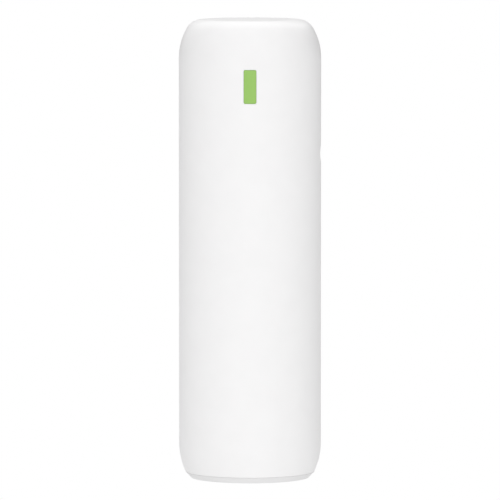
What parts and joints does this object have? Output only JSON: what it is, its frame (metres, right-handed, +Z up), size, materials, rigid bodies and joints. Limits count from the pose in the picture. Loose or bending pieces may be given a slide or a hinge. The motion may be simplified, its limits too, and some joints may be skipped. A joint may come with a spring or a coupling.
{
  "type": "mesh wifi node",
  "caption": "Slim round white tower with a domed top, a green status window, a dished side button and a recessed rear bay for power and network plugs.",
  "frame": {"origin": "centre of the surface it stands on, under the foot ring", "axes": "+Z up along the tower, -Y out of the status window at the front, +X out of the side with the pairing button"},
  "size_m": [0.062, 0.062, 0.2011],
  "materials": {
    "shell_white": "fine satin moulding texture",
    "base_white": "fine satin moulding texture",
    "panel_grey": "fine matte texture",
    "lens_green": "smooth, slightly frosted, lit from behind",
    "foot_rubber": "matte",
    "label_film": "blank film label, no print",
    "screw_steel": "zinc plated",
    "shield_steel": "tinned, softly brushed",
    "frame_grey": "moulded, unpainted",
    "black_plastic": "moulded, unpainted",
    "chip_black": "moulded epoxy",
    "board_green": "solder mask",
    "contact_gold": "gold plated",
    "heatsink_aluminium": "extruded, clear anodised",
    "lead_black": "smooth cable jacket",
    "capacitor_sleeve": "shrink sleeve",
    "thermal_silicone": "soft filled silicone",
    "led_lens": "clear epoxy"
  },
  "bodies": {
    "housing": {"outer_sleeve": "shell_white", "bottom_cover": "base_white", "foot_ring": "foot_rubber", "rating_label": "label_film", "base_screw_1": "screw_steel", "base_screw_2": "screw_steel", "base_screw_3": "screw_steel", "port_panel": "panel_grey", "light_guide": "lens_green", "light_baffle": "black_plastic", "led_board": "board_green", "status_led_1": "led_lens", "status_led_2": "led_lens", "led_lead": "lead_black", "pair_switch": "black_plastic", "button_board": "board_green", "button_lead": "lead_black", "inner_frame": "frame_grey", "antenna_carrier": "frame_grey", "carrier_screw_1": "screw_steel", "carrier_screw_2": "screw_steel", "carrier_screw_3": "screw_steel", "antenna_1": "contact_gold", "antenna_2": "contact_gold", "antenna_3": "contact_gold", "antenna_4": "contact_gold", "antenna_lead_1": "lead_black", "antenna_lead_2": "lead_black", "antenna_lead_3": "lead_black", "antenna_lead_4": "lead_black", "main_board": "board_green", "ethernet_jack_1": "black_plastic", "jack_contacts_1": "contact_gold", "ethernet_jack_2": "black_plastic", "jack_contacts_2": "contact_gold", "dc_jack": "black_plastic", "dc_jack_pin": "screw_steel", "reset_switch": "black_plastic", "ethernet_magnetics_1": "chip_black", "ethernet_magnetics_2": "chip_black", "power_inductor": "chip_black", "memory_chip": "chip_black", "flash_chip": "chip_black", "shield_can_1": "shield_steel", "shield_can_2": "shield_steel", "bulk_capacitor_1": "capacitor_sleeve", "bulk_capacitor_2": "capacitor_sleeve", "processor_chip": "chip_black", "thermal_pad": "thermal_silicone", "heatsink": "heatsink_aluminium", "heatsink_screw_1": "screw_steel", "heatsink_screw_2": "screw_steel", "heatsink_screw_3": "screw_steel", "heatsink_screw_4": "screw_steel"},
    "pair_button": {"pair_button": "shell_white", "pair_switch_plunger": "panel_grey"},
    "reset_plunger": {"reset_plunger": "panel_grey"}
  },
  "joints": [
    {"name": "pair_button_press", "type": "slide", "parent": "housing", "child": "pair_button", "axis": [-1, 0, 0], "range_m": [0, 0.0005], "stiffness_N_per_m": 900},
    {"name": "reset_press", "type": "slide", "parent": "housing", "child": "reset_plunger", "axis": [0, -1, 0], "range_m": [0, 0.00025], "stiffness_N_per_m": 1200}
  ]
}
